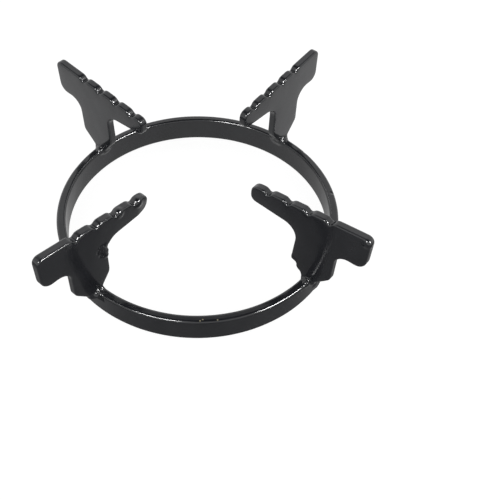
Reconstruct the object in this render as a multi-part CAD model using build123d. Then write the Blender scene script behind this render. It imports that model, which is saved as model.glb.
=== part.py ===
from build123d import *
import os
from math import radians, tan

# Gas hob reducer ring: a hoop of flat bar stood on edge, with four blades
# welded on top of it and black enamel over the whole. Millimetres, +Z up,
# origin at the centre of the ring on the plane that it stands on.

# Ring: the bar's section over the enamel
ring_radius = 60.0         # to the outer face
ring_wall = 3.8
ring_height = 11.5
ring_edge = 1.0            # bevel of the bar's four edges

# Blade plate
plate_thickness = 3.8
plate_edge = 0.7           # bevel of the plate's edges

# Blade outline, outwards (+) and inwards from the middle line of the ring's
# wall and up from the ring's top. The crest is the toothed top edge.
crest_rise = 35.5          # above the ring's top, over the ring's middle line
crest_slope = 6.8          # degrees, rising outwards
arm_reach = 29.3           # inwards, to the rounded tip
arm_tip_depth = 7.4        # crest to underside, at the tip
arm_root_depth = 11.3      # the same at the stem
wing_reach = 22.0          # outwards, to the flat end
wing_depth = 15.8          # crest to underside, at the end
stem_inside = 7.6          # stem's inner edge
stem_outside = 9.7         # stem's outer edge
heel_rise = 6.6            # where the stem begins to narrow to its foot
foot_inside = 2.5          # foot's width at the ring's top
foot_outside = 4.0
foot_lap = 2.2             # how far the foot laps down over the bar

# Teeth of the crest
notch_pitch = 9.2
notch_first = 5.1          # outermost notch, outwards
notch_depth = 2.0
notch_half_width = 1.6
notch_root = 0.8           # rounding at the bottom of a notch
tooth_corner = 2.2         # rounding of the teeth between
tip_land = 6.0             # least length left whole at the tip

# Corner roundings of the outline, in the plane of the plate
corner_share = 0.48        # most of a side that the rounding at one end of it takes
tip_under_corner = 2.8
tip_top_corner = 4.0
arm_pit_corner = 6.0
wing_pit_corner = 6.5
wing_top_corner = 2.6
wing_under_corner = 4.2
heel_inner_corner = 4.0
heel_outer_corner = 2.8
foot_corner = 1.0

# The blades as cut and welded by hand: angle round the ring, twist and lean in
# degrees, slide outwards, and how much further than the sizes above its arm,
# wing, inner heel and outer stem edge reach
blades = {
    "back right": dict(
        angle=45.7, twist=-0.8, lean=0.2, slide=0.0, arm=0.4, wing=0.6, heel=0.3, back=0.0,
    ),
    "back left": dict(
        angle=135.6, twist=-1.2, lean=1.0, slide=-0.9, arm=-0.3, wing=-0.5, heel=0.0, back=0.4,
    ),
    "front left": dict(
        angle=223.7, twist=0.0, lean=1.4, slide=1.4, arm=-0.2, wing=-0.2, heel=0.0, back=0.0,
    ),
    "front right": dict(
        angle=314.9, twist=0.6, lean=1.4, slide=-0.3, arm=1.0, wing=0.4, heel=0.9, back=0.4,
    ),
}

ring_middle = ring_radius - ring_wall / 2
notch_count = 1 + int((notch_first + arm_reach - tip_land) / notch_pitch)


def crest(x):
    """Height of the crest line at a distance x outwards."""
    return crest_rise + x * tan(radians(crest_slope))


def fitting_radius(before, corner, after, wanted):
    """The wanted rounding of a corner, or as much as its two sides leave room for."""
    a, b = Vector(*before) - Vector(*corner), Vector(*after) - Vector(*corner)
    half_angle = radians(a.get_angle(b)) / 2
    return min(wanted, corner_share * min(a.length, b.length) * tan(half_angle))


def blade_outline(b):
    """Closed outline of blade b as corners (x, z, rounding), anticlockwise from the foot."""
    tip = -(arm_reach + b["arm"])
    end = wing_reach + b["wing"]
    heel = -(stem_inside + b["heel"])
    back = stem_outside + b["back"]
    corners = [
        (-foot_inside, -foot_lap, foot_corner),
        (foot_outside, -foot_lap, foot_corner),
        (foot_outside, 0, foot_corner),
        (back, heel_rise, heel_outer_corner),
        (back, crest(end) - wing_depth, wing_pit_corner),
        (end, crest(end) - wing_depth, wing_under_corner),
        (end, crest(end), wing_top_corner),
    ]
    for k in range(notch_count):
        x = notch_first - k * notch_pitch
        corners += [
            (x + notch_half_width, crest(x + notch_half_width), tooth_corner),
            (x, crest(x) - notch_depth, notch_root),
            (x - notch_half_width, crest(x - notch_half_width), tooth_corner),
        ]
    corners += [
        (tip, crest(tip), tip_top_corner),
        (tip, crest(tip) - arm_tip_depth, tip_under_corner),
        (-stem_inside, crest(-stem_inside) - arm_root_depth, arm_pit_corner),
        (heel, heel_rise, heel_inner_corner),
        (-foot_inside, 0, foot_corner),
    ]
    return corners


def blade(b):
    """Blade b in its own frame: x outwards, z up from the ring's top."""
    corners = blade_outline(b)
    points = [(x, z) for x, z, _ in corners]
    count = len(points)
    radii = [
        fitting_radius(points[i - 1], points[i], points[(i + 1) % count], corners[i][2])
        for i in range(count)
    ]
    outline = Plane.XZ * FilletPolyline(*points, radius=radii, close=True)
    plate = extrude(make_face(outline), plate_thickness / 2, both=True)
    rims = plate.faces().sort_by(Axis.Y)
    return chamfer(rims[0].edges() + rims[-1].edges(), plate_edge)


def ring():
    """The bar bent round and welded, its section revolved about Z."""
    bar = Rectangle(ring_wall, ring_height)
    section = Pos(ring_middle, ring_height / 2) * chamfer(bar.vertices(), ring_edge)
    return revolve(Plane.XZ * section, Axis.Z)


def reducer_ring():
    body = ring()
    for b in blades.values():
        seat = (
            Rot(Z=b["angle"]) * Pos(ring_middle + b["slide"], 0, ring_height)
            * Rot(Z=b["twist"]) * Rot(X=-b["lean"])
        )
        body += seat * blade(b)
    return body


os.makedirs("parts", exist_ok=True)
export_step(reducer_ring(), "parts/reducer_ring.step")
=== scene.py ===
from math import cos, radians, sin

import bpy
import numpy as np
from mathutils import Matrix, Vector, kdtree, noise


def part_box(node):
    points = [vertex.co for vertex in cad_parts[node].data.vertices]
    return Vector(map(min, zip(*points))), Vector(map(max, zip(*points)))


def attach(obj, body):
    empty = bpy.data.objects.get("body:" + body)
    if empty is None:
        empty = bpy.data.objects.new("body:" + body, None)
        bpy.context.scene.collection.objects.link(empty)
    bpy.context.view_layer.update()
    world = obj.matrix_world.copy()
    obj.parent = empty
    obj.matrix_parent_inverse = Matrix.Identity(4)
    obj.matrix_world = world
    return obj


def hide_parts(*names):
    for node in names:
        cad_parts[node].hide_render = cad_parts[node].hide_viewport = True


# Gas hob reducer ring in black enamel: a welded ring with four toothed
# blades. Everything is in metres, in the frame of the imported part.
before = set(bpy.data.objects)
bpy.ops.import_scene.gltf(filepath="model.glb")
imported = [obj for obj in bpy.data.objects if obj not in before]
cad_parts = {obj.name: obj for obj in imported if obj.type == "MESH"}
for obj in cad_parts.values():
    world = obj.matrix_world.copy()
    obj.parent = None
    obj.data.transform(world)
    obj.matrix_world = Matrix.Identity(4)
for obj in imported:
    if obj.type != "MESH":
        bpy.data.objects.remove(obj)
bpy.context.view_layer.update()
mm = 0.001

# Ring and blades, as the part has them
ring_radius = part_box("reducer_ring")[1].x
ring_wall = 3.8 * mm
ring_height = 11.5 * mm
ring_middle = ring_radius - ring_wall / 2
plate_thickness = 3.8 * mm
foot_lap = 2.2 * mm
blades = {
    "back_right": dict(angle=45.7, twist=-0.8, lean=0.2, slide=0.0 * mm),
    "back_left": dict(angle=135.6, twist=-1.2, lean=1.0, slide=-0.9 * mm),
    "front_left": dict(angle=223.7, twist=0.0, lean=1.4, slide=1.4 * mm),
    "front_right": dict(angle=314.9, twist=0.6, lean=1.4, slide=-0.3 * mm),
}

# Lumps of weld metal and enamel: place (x, y, z) and radius in a blade's own frame, in mm
lumps = {
    "back_right": [
        ((-0.4, 1.6, -0.3), 2.3), ((-0.7, -2.2, -0.7), 1.3), ((0.9, -2.5, -0.8), 1.2),
        ((2.1, -1.8, -0.6), 1.2), ((2.6, 0.4, -1.4), 1.9),
    ],
    "back_left": [
        ((0.3, -0.4, -0.4), 2.5), ((0.9, 2.2, -0.6), 1.2), ((-0.5, 2.8, -0.7), 1.1),
        ((2.4, 0.6, -1.2), 1.8),
    ],
    "front_left": [
        ((-1.5, 1.4, -0.6), 1.2), ((-0.3, 2.4, -0.8), 1.2), ((-1.8, -1.2, -0.6), 1.4),
        ((0.9, 2.6, -1.0), 1.2), ((1.6, 0.6, -1.0), 2.0),
        # Burr on the stem's inner edge
        ((-6.1, 0.5, 21.4), 1.8), ((-6.6, 0.9, 18.8), 1.4), ((-7.0, -0.2, 22.8), 1.4),
        ((-5.0, 1.2, 22.2), 1.1), ((-5.0, 1.2, 19.6), 1.1), ((-6.6, 1.2, 16.8), 1.1),
        # Beads on the arm's face, beside two of its notches
        ((-24.4, 0.6, 30.6), 1.9), ((-15.2, 0.6, 32.2), 1.6),
    ],
    "front_right": [
        ((0.5, -2.1, -0.7), 1.2), ((1.3, -3.2, -0.9), 1.2), ((-1.4, 0.6, -0.6), 1.5),
        # Sag of enamel on the ring's wall
        ((0.9, 4.8, -9.0), 1.8), ((0.9, 3.4, -7.0), 1.8), ((0.8, 6.4, -8.2), 1.6),
        # Inner heel, and the wing's upper corner
        ((-7.0, 0.0, 6.8), 1.6), ((20.7, -0.6, 35.7), 1.6),
    ],
}

# Chips that are missing, given in the same way
chips = {
    "back_right": [
        # Nicks in the edge of the ring's top
        ((0.2, -14.8, 0.4), 0.9), ((-13.6, -39.5, 0.6), 1.0),
    ],
    "back_left": [],
    "front_left": [
        # Round the burr
        ((-8.4, 2.4, 20.2), 1.3), ((-8.3, 1.2, 17.8), 1.0), ((-8.6, 0.6, 14.4), 1.4),
        ((-3.6, 2.9, 21.0), 1.5), ((-4.2, 2.9, 18.4), 1.4),
        # Facet on the arm's tip
        ((-30.1, 18.8, 24.0), 18),
    ],
    "front_right": [
        # Two steps bitten out of the inner heel, through the whole plate
        ((-7.4, -2.0, 4.3), 2.0), ((-7.4, 0.0, 4.3), 2.0), ((-7.4, 2.0, 4.3), 2.0),
        ((-4.3, -2.0, 0.9), 1.4), ((-4.3, 0.0, 0.9), 1.4), ((-4.3, 2.0, 0.9), 1.4),
    ],
}

# Crusts of spatter on the welds and the burr: blade, place in its own frame and reach, in mm
crusts = [
    ("back_right", (-0.2, -2.0, -0.4), 2.6), ("back_left", (0.2, 2.7, -0.2), 2.0),
    ("front_left", (-1.3, 1.4, 0.0), 2.8), ("front_left", (-6.0, 1.4, 20.4), 3.4),
    ("front_right", (1.0, -2.8, -0.2), 2.2),
]
crust_grain = 1.4 * mm      # size of its coarse grains, in the skin's shape
crust_rise = 0.65 * mm      # how far they stand out or in
crust_slope = 1.4           # how fast they grow from the rim; at 1 only the centre has them in full
crust_height = 0.7 * mm     # of its fine grains, in the enamel's bump
crust_core = 1 / 3          # share of the reach in which the fine grains are in full

# Pale specks on the front of the ring's top: azimuth in degrees, radius in mm
specks = [(266.6, 59.1), (267.6, 58.6), (273.0, 59.2)]
speck_size = 0.4 * mm

# Skin of enamel over the metal
merge_gap = 0.001 * mm      # points of the part's mesh that are closer are one
cut_merge_gap = 0.01 * mm   # the same in a cut through it
skin_grid = 0.42 * mm       # spacing of the skin's first points
skin_smoothing = dict(factor=0.5, iterations=2)
skin_faces = 190000         # triangles that it keeps
first_rounds = 3            # of laying the skin on the form, before it is thinned out
last_rounds = 2             # and after
plate_roundness = 0.8 * mm  # radius of the blades' edges
ring_roundness = 1.15 * mm  # radius of the ring's edges
face_fall = 0.14 * mm       # how much thinner a blade's face is at its edges
face_fall_width = 1.7 * mm
weld_flow = 1.6 * mm        # how far the skin bridges between blade and ring
lump_flow = 1.2 * mm        # the same for lumps
chip_flow = 0.5 * mm
outline_step = 0.2 * mm
outline_flow = 0.5 * mm     # how far a kink in the outline is softened
wave_length = 13 * mm
wave_height = 0.09 * mm
normal_match = 0.6          # cosine to the mesh's own normals from which the form's are used

# Enamel: shades by the strength of its bloom, and what breaks up its gloss
enamel_shades = [(0.3, (0.013, 0.0138, 0.0168, 1)), (0.7, (0.02, 0.021, 0.0245, 1))]
speck_colour = (0.3, 0.27, 0.19, 1)
enamel_ior = 1.5
enamel_roughness = 0.085
bloom_roughness = 0.08      # added to it in full bloom
peel_height = 0.002 * mm
slow_height = 0.13 * mm
bloom_noise = dict(Scale=90.0, Detail=3.0)
peel_noise = dict(Scale=900.0, Detail=2.0)
slow_noise = dict(Scale=100.0, Detail=1.0)
spatter_noise = dict(Scale=1100.0, Detail=1.0)

# Light: a pale tent that is dark overhead, which lights the ring evenly, over a pale floor
tent_strength = 1.5
tent_levels = [(0.0, 1.0), (0.5, 0.75), (0.75, 0.7), (0.88, 0.04), (1.0, 0.0)]  # rise and level
floor_size = 6.0
floor_shade = 0.17          # share of light that the floor gives back
floor_white = 0.93          # added to it where the camera looks
# Painted shade: the floor's glow as the enamel mirrors it rises from front to back, standing in for shade
# on the floor towards the camera
floor_fade_front, floor_fade_back = -0.05, 0.075  # places along Y between which its mirrored glow changes
floor_glow_front, floor_glow_back = 0.15, 0.8

# Bar lamps, which show only in the gloss: degrees, metres and watts; azimuth 0 is at +X and 90 at +Y
lamps = {
    "front_left": dict(azimuth=234, elevation=48, distance=1.0, width=0.4, height=0.12, power=12),
    "front_right": dict(azimuth=328, elevation=40, distance=1.0, width=0.5, height=0.12, power=21),
}

# Camera, at the photograph's viewing angle, in degrees
camera_turn = -3.17
camera_elevation = 48.24
camera_pan = 4.039
camera_tilt = 2.149
camera_roll = 0.584
camera_distance = 315.25 * mm
camera_lens = 51.27         # focal length in mm


def turned(degrees, axis):
    return Matrix.Rotation(radians(degrees), 4, axis)


def blade_frame(name):
    """The blade's own frame: x outwards from the middle of the ring's wall, z up from its top."""
    b = blades[name]
    seat = Matrix.Translation((ring_middle + b["slide"], 0, ring_height))
    return turned(b["angle"], "Z") @ seat @ turned(b["twist"], "Z") @ turned(-b["lean"], "X")


def placed(name, place):
    """A place in a blade's own frame and in mm, as a place of the part."""
    return blade_frame(name) @ (Vector(place) * mm)


def pick_only(piece):
    bpy.ops.object.select_all(action="DESELECT")
    piece.select_set(True)
    bpy.context.view_layer.objects.active = piece


def copy_of_node(source, name):
    """A CAD node's mesh as a new piece, with its doubled points merged."""
    piece = bpy.data.objects.new(name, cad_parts[source].data.copy())
    bpy.context.scene.collection.objects.link(piece)
    pick_only(piece)
    bpy.ops.object.mode_set(mode="EDIT")
    bpy.ops.mesh.select_all(action="SELECT")
    bpy.ops.mesh.remove_doubles(threshold=merge_gap)
    bpy.ops.object.mode_set(mode="OBJECT")
    bpy.ops.mesh.customdata_custom_splitnormals_clear()
    return piece


def rows_of(items, name):
    """A vector property of many items, one row for each."""
    flat = np.empty(len(items) * 3, np.float32)
    items.foreach_get(name, flat)
    return flat.reshape(-1, 3).astype(float)


def points_of(piece):
    return rows_of(piece.data.vertices, "co")


def set_points(piece, co):
    piece.data.vertices.foreach_set("co", co.astype(np.float32).ravel())
    piece.data.update()


def apply_modifier(piece, kind, **settings):
    pick_only(piece)
    modifier = piece.modifiers.new(kind.lower(), kind)
    for key, value in settings.items():
        setattr(modifier, key, value)
    bpy.ops.object.modifier_apply(modifier=modifier.name)


def wrap(piece):
    """One closed skin of small even faces."""
    pick_only(piece)
    piece.data.remesh_voxel_size = skin_grid
    bpy.ops.object.voxel_remesh()


def outline_of(name, metal):
    """A blade's closed outline in its own middle plane, cut from the metal: points (x, z) in a row."""
    cut = metal.copy()
    cut.data = metal.data.copy()
    bpy.context.scene.collection.objects.link(cut)
    cut.data.transform(blade_frame(name).inverted())
    pick_only(cut)
    bpy.ops.object.mode_set(mode="EDIT")
    bpy.ops.mesh.select_all(action="SELECT")
    bpy.ops.mesh.bisect(plane_co=(0, 0, 0), plane_no=(0, 1, 0), clear_inner=True, clear_outer=True)
    bpy.ops.mesh.select_all(action="SELECT")
    bpy.ops.mesh.remove_doubles(threshold=cut_merge_gap)
    bpy.ops.object.mode_set(mode="OBJECT")
    places = [(v.co.x, v.co.z) for v in cut.data.vertices]
    beside = {}
    for edge in cut.data.edges:
        a, b = edge.vertices
        beside.setdefault(a, []).append(b)
        beside.setdefault(b, []).append(a)
    # The plane also cuts what stands across the ring, so the walk starts on this side of it
    this_side = [i for i in beside if places[i][0] > -ring_middle / 2]
    start = max(this_side, key=lambda i: places[i][1])
    walk = [start, beside[start][0]]
    while walk[-1] != start:
        a, b = beside[walk[-1]]
        walk.append(b if a == walk[-2] else a)
    bpy.data.objects.remove(cut)
    return softened(np.array([places[i] for i in walk]))


def softened(line):
    """The closed line with even steps and without the ring's bar, its kinks softened by enamel."""
    line = np.maximum(line, (-np.inf, -foot_lap))
    along = np.concatenate([[0], np.cumsum(np.linalg.norm(np.diff(line, axis=0), axis=1))])
    count = int(along[-1] / outline_step)
    even = np.linspace(0, along[-1], count, endpoint=False)
    line = np.stack([np.interp(even, along, line[:, k]) for k in (0, 1)], axis=1)
    gap = np.minimum(even, along[-1] - even)
    blur = np.exp(-0.5 * (gap / outline_flow) ** 2)
    spread = np.fft.fft(blur / blur.sum())[:, None]
    return np.fft.ifft(np.fft.fft(line, axis=0) * spread, axis=0).real


def outward_of(line):
    """Unit vectors square to a closed line at its points, away from its inside."""
    run = np.roll(line, -1, axis=0) - np.roll(line, 1, axis=0)
    after = np.roll(line, -1, axis=0)
    area = (line[:, 0] * after[:, 1] - after[:, 0] * line[:, 1]).sum()
    out = np.stack([run[:, 1], -run[:, 0]], axis=1) * np.sign(area)
    return out / np.linalg.norm(out, axis=1)[:, None]


def away_from_line(points, line):
    """Distance of points (x, z) from a closed line, less than 0 inside it, and the way that it grows."""
    outward = outward_of(line)
    tree = kdtree.KDTree(len(line))
    for k, (x, z) in enumerate(line):
        tree.insert((x, z, 0), k)
    tree.balance()
    near = np.array([tree.find((x, z, 0))[1] for x, z in points])
    best = np.full(len(points), np.inf)
    nearest, grow = np.zeros_like(points), np.zeros_like(points)
    for first in (near - 1, near):
        last = (first + 1) % len(line)
        step = line[last] - line[first]
        share = np.clip(((points - line[first]) * step).sum(1) / (step**2).sum(1), 0, 1)[:, None]
        foot = line[first] + share * step
        distance = ((points - foot) ** 2).sum(1)
        closer = distance < best
        best[closer], nearest[closer] = distance[closer], foot[closer]
        grow[closer] = (outward[first] + share * (outward[last] - outward[first]))[closer]
    grow /= np.linalg.norm(grow, axis=1)[:, None]
    side = np.sign(((points - nearest) * grow).sum(1))
    return side * np.sqrt(best), grow


def rounded(a, grow_a, b, grow_b, radius):
    """The form inside both a and b, its edge rounded; each is a distance and the way that it grows."""
    a, b = a + radius, b + radius
    corner = (a > 0) & (b > 0)
    length = np.where(corner, np.hypot(a, b), 1)
    flat = np.where((a > b)[:, None], grow_a, grow_b)
    bent = (a[:, None] * grow_a + b[:, None] * grow_b) / length[:, None]
    return np.where(corner, length, np.maximum(a, b)) - radius, np.where(corner[:, None], bent, flat)


def flowed_together(a, grow_a, b, grow_b, reach):
    """The form that holds both a and b, its joint bridged over a reach."""
    share = np.clip(0.5 + 0.5 * (b - a) / reach, 0, 1)
    form = b + (a - b) * share - reach * share * (1 - share)
    return form, grow_b + (grow_a - grow_b) * share[:, None]


def ring_form(co):
    """The ring's bar."""
    radius = np.hypot(co[:, 0], co[:, 1])
    outwards = co * (1, 1, 0) / radius[:, None]
    across, up = radius - ring_middle, co[:, 2] - ring_height / 2
    return rounded(
        abs(across) - ring_wall / 2, outwards * np.sign(across)[:, None],
        abs(up) - ring_height / 2, np.sign(up)[:, None] * np.array((0, 0, 1)), ring_roundness,
    )


def blade_form(co, name, outline):
    """A blade's plate, thinner towards its outline."""
    inverse = np.array(blade_frame(name).inverted())
    local = co @ inverse[:3, :3].T + inverse[:3, 3]
    plane, grow = away_from_line(local[:, (0, 2)], outline)
    grow = grow[:, :1] * inverse[0, :3] + grow[:, 1:] * inverse[2, :3]
    fall = face_fall * np.exp(np.minimum(plane, 0) / face_fall_width)
    across = np.sign(local[:, 1])[:, None] * inverse[1, :3] + (fall / face_fall_width)[:, None] * grow
    return rounded(plane, grow, abs(local[:, 1]) - plate_thickness / 2 + fall, across, plate_roundness)


def ball_form(co, name, place, radius):
    gap = co - np.array(placed(name, place))
    length = np.linalg.norm(gap, axis=1)
    return length - radius * mm, gap / length[:, None]


def blade_at_foot(co, form, grow, name, outline):
    """Adds a blade, its lumps and its chips to the form of the ring, at the points near them."""
    form, grow = flowed_together(form, grow, *blade_form(co, name, outline), weld_flow)
    for place, radius in lumps[name]:
        form, grow = flowed_together(form, grow, *ball_form(co, name, place, radius), lump_flow)
    for place, radius in chips[name]:
        ball, ball_grow = ball_form(co, name, place, radius)
        form, grow = flowed_together(-form, -grow, ball, ball_grow, chip_flow)
        form, grow = -form, -grow
    return form, grow


def lay_on_metal(piece, outlines, rounds):
    """Moves the skin's points onto the rounded form of ring and blades; gives its unit normals there."""
    co = points_of(piece)
    side = np.stack([co @ np.array(blade_frame(name).to_3x3().col[0]) for name in blades]).argmax(0)
    for _ in range(rounds):
        form, grow = ring_form(co)
        for k, name in enumerate(blades):
            here = side == k
            form[here], grow[here] = blade_at_foot(co[here], form[here], grow[here], name, outlines[name])
        co -= (form / (grow**2).sum(1))[:, None] * grow
    co[:, 2] = np.maximum(co[:, 2], 0)
    set_points(piece, co)
    return grow / np.linalg.norm(grow, axis=1)[:, None]


def thin_out(piece):
    """Leaves fewer points where the skin is flat, within its count of triangles."""
    triangles = sum(len(face.vertices) - 2 for face in piece.data.polygons)
    apply_modifier(piece, "DECIMATE", ratio=skin_faces / triangles)


def wave(piece, normals):
    """The slow unevenness of poured enamel, which only sinks, so that the skin stays in the CAD box."""
    co = points_of(piece)
    height = np.array([noise.noise(Vector(point) / wave_length) for point in co])
    co += normals * ((height - 1) / 2 * wave_height)[:, None]
    co[:, 2] = np.maximum(co[:, 2], 0)
    set_points(piece, co)


def roughen(piece, normals):
    """The crusts' coarse grains; gives the points' normals, the skin's own ones on a crust."""
    co = points_of(piece)
    crust = np.zeros(len(co))
    for name, centre, reach in crusts:
        gap = np.linalg.norm(co - np.array(placed(name, centre)), axis=1)
        crust += np.clip(crust_slope * (1 - gap / (reach * mm)), 0, 1)
    for k in np.flatnonzero(crust):
        grain = noise.noise(Vector(co[k]) / crust_grain)
        co[k] += normals[k] * crust[k] * grain * crust_rise
    set_points(piece, co)
    own = rows_of(piece.data.vertex_normals, "vector")
    smooth = (crust == 0) & ((normals * own).sum(1) > normal_match)
    return np.where(smooth[:, None], normals, own)


def make_ring():
    ring = copy_of_node("reducer_ring", "enamelled_ring")
    outlines = {name: outline_of(name, ring) for name in blades}
    wrap(ring)
    apply_modifier(ring, "SMOOTH", **skin_smoothing)
    lay_on_metal(ring, outlines, first_rounds)
    thin_out(ring)
    normals = lay_on_metal(ring, outlines, last_rounds)
    wave(ring, normals)
    pick_only(ring)
    bpy.ops.object.shade_smooth()
    normals = roughen(ring, normals)
    ring.data.normals_split_custom_set_from_vertices(normals)
    return ring


class Value:
    """A shader socket that takes part in Python sums."""

    def __init__(self, tree, socket):
        self.tree, self.socket = tree, socket

    def maths(self, operation, *inputs):
        return node(self.tree, "ShaderNodeMath", {"operation": operation}, dict(enumerate(inputs)))

    def __add__(self, other):
        return self.maths("ADD", self, other)

    def __mul__(self, other):
        return self.maths("MULTIPLY", self, other)

    def __rsub__(self, other):
        return self.maths("SUBTRACT", other, self)

    __radd__, __rmul__ = __add__, __mul__


def set_stops(ramp, stops):
    """Gives a colour ramp its stops in a row, each a place and a colour."""
    for element, (place, colour) in zip((ramp.elements[0], ramp.elements[1]), (stops[0], stops[-1])):
        element.position, element.color = place, colour
    for place, colour in stops[1:-1]:
        ramp.elements.new(place).color = colour


def node(tree, kind, settings, inputs, output=0):
    """A shader node with its settings made first, then the values or links of its sockets."""
    made = tree.nodes.new(kind)
    for key, value in settings.items():
        if key == "stops":
            set_stops(made.color_ramp, value)
        else:
            setattr(made, key, value)
    for key, value in inputs.items():
        if isinstance(value, Value):
            tree.links.new(value.socket, made.inputs[key])
        else:
            made.inputs[key].default_value = value
    return Value(tree, made.outputs[output]) if made.outputs else made


def new_material(name):
    material = bpy.data.materials.new(name)
    material.use_nodes = True
    material.node_tree.nodes.clear()
    return material, material.node_tree


def near_centre(tree, place, centre, core, rim):
    """1 up to a distance core from a centre, and 0 from a distance rim."""
    gap = node(tree, "ShaderNodeVectorMath", {"operation": "DISTANCE"}, {0: place, 1: centre}, "Value")
    return node(tree, "ShaderNodeMapRange", {"interpolation_type": "SMOOTHSTEP"}, {
        "Value": gap, "From Min": rim, "From Max": core,
    })


def crust_of(tree, place):
    """How much of a crust there is at a place, from 0 to 1."""
    return sum(
        near_centre(tree, place, placed(name, centre), reach * crust_core * mm, reach * mm)
        for name, centre, reach in crusts
    )


def speck_of(tree, place):
    """How much of a pale speck there is at a place, from 0 to 1."""
    centres = [turned(azimuth, "Z") @ Vector((radius * mm, 0, ring_height)) for azimuth, radius in specks]
    return sum(near_centre(tree, place, centre, speck_size / 2, speck_size) for centre in centres)


def black_enamel():
    """Thick glossy black: slight orange peel, slow waves and a duller bloom in places."""
    material, tree = new_material("black_enamel")
    place = node(tree, "ShaderNodeTexCoord", {}, {}, "Object")
    bloom, peel, slow, spatter = (
        node(tree, "ShaderNodeTexNoise", {}, {"Vector": place, **sizes})
        for sizes in (bloom_noise, peel_noise, slow_noise, spatter_noise)
    )
    black = node(tree, "ShaderNodeValToRGB", {"stops": enamel_shades}, {"Fac": bloom})
    # A Mix node's colours go in at 6 and 7 and come out at 2
    colour = node(tree, "ShaderNodeMix", {"data_type": "RGBA"}, {
        0: speck_of(tree, place), 6: black, 7: speck_colour,
    }, 2)
    relief = peel * peel_height + slow * slow_height + spatter * crust_of(tree, place) * crust_height
    bump = node(tree, "ShaderNodeBump", {}, {"Strength": 1.0, "Distance": 1.0, "Height": relief})
    skin = node(tree, "ShaderNodeBsdfPrincipled", {}, {
        "Base Color": colour, "Roughness": bloom * bloom_roughness + enamel_roughness,
        "Normal": bump, "IOR": enamel_ior,
    })
    node(tree, "ShaderNodeOutputMaterial", {}, {"Surface": skin})
    return material


def rays(tree):
    """The camera's rays, those that mirror and those that pass through."""
    path = tree.nodes.new("ShaderNodeLightPath")
    return [Value(tree, path.outputs[n]) for n in ("Is Camera Ray", "Is Glossy Ray", "Is Transmission Ray")]


def floor_material():
    """Pale floor that shows white with the ring's soft shadow; mirrored, it is darker at the front, which
    is painted shade.
    """
    material, tree = new_material("pale_floor")
    camera, glossy, through = rays(tree)
    place = node(tree, "ShaderNodeTexCoord", {}, {}, "Object")
    back = node(tree, "ShaderNodeSeparateXYZ", {}, {"Vector": place}, "Y")
    # Painted shade: the mirrored glow is lower at the front of the floor
    fade = node(tree, "ShaderNodeMapRange", {}, {
        "Value": back, "From Min": floor_fade_front, "From Max": floor_fade_back,
        "To Min": floor_glow_front, "To Max": floor_glow_back,
    })
    strength = camera * floor_white + (glossy + through) * fade
    lit = node(tree, "ShaderNodeBsdfDiffuse", {}, {"Color": (floor_shade,) * 3 + (1,)})
    glow = node(tree, "ShaderNodeEmission", {}, {"Color": (1, 1, 1, 1), "Strength": strength})
    both = node(tree, "ShaderNodeAddShader", {}, {0: lit, 1: glow})
    node(tree, "ShaderNodeOutputMaterial", {}, {"Surface": both})
    return material


def make_floor():
    bpy.ops.object.select_all(action="DESELECT")
    bpy.ops.mesh.primitive_plane_add(size=floor_size)
    floor = bpy.context.object
    floor.name = "floor"
    floor.data.materials.append(floor_material())


def make_tent():
    """The tent all round: white to the camera, and its levels by how steeply one looks up to it."""
    world = bpy.data.worlds.new("studio")
    bpy.context.scene.world = world
    world.use_nodes = True
    tree = world.node_tree
    tree.nodes.clear()
    camera = rays(tree)[0]
    direction = node(tree, "ShaderNodeTexCoord", {}, {}, "Generated")
    rise = node(tree, "ShaderNodeSeparateXYZ", {}, {"Vector": direction}, "Z")
    stops = [(place, (level, level, level, 1)) for place, level in tent_levels]
    tent = node(tree, "ShaderNodeValToRGB", {"stops": stops}, {"Fac": rise})
    strength = camera + (1 - camera) * tent * tent_strength
    sky = node(tree, "ShaderNodeBackground", {}, {"Color": (1, 1, 1, 1), "Strength": strength})
    node(tree, "ShaderNodeOutputWorld", {}, {"Surface": sky})


def make_lamp(name, azimuth, elevation, distance, width, height, power):
    """A bar lamp that faces the ring and shows only in its gloss."""
    light = bpy.data.lights.new(name, "AREA")
    light.shape, light.size, light.size_y, light.energy = "RECTANGLE", width, height, power
    lamp = bpy.data.objects.new(name, light)
    bpy.context.scene.collection.objects.link(lamp)
    a, e = radians(azimuth), radians(elevation)
    lamp.location = Vector((cos(a) * cos(e), sin(a) * cos(e), sin(e))) * distance
    lamp.rotation_euler = lamp.location.to_track_quat("Z", "Y").to_euler()
    lamp.visible_diffuse = False


def make_camera():
    data = bpy.data.cameras.new("camera")
    data.lens = camera_lens
    camera = bpy.data.objects.new("camera", data)
    bpy.context.scene.collection.objects.link(camera)
    elevation = radians(camera_elevation)
    place = Vector((0, -cos(elevation), sin(elevation))) * camera_distance
    aim = turned(-camera_pan, "Y") @ turned(-camera_tilt, "X") @ turned(-camera_roll, "Z")
    level = Matrix.Translation(place) @ turned(90 - camera_elevation, "X") @ aim
    camera.matrix_world = turned(camera_turn, "Z") @ level
    bpy.context.scene.camera = camera


bpy.context.scene.view_settings.view_transform = "Standard"
make_camera()
make_floor()
make_tent()
for lamp_name, lamp_values in lamps.items():
    make_lamp(lamp_name, **lamp_values)
ring = make_ring()
ring.data.materials.clear()
ring.data.materials.append(black_enamel())
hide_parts("reducer_ring")
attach(ring, "root")
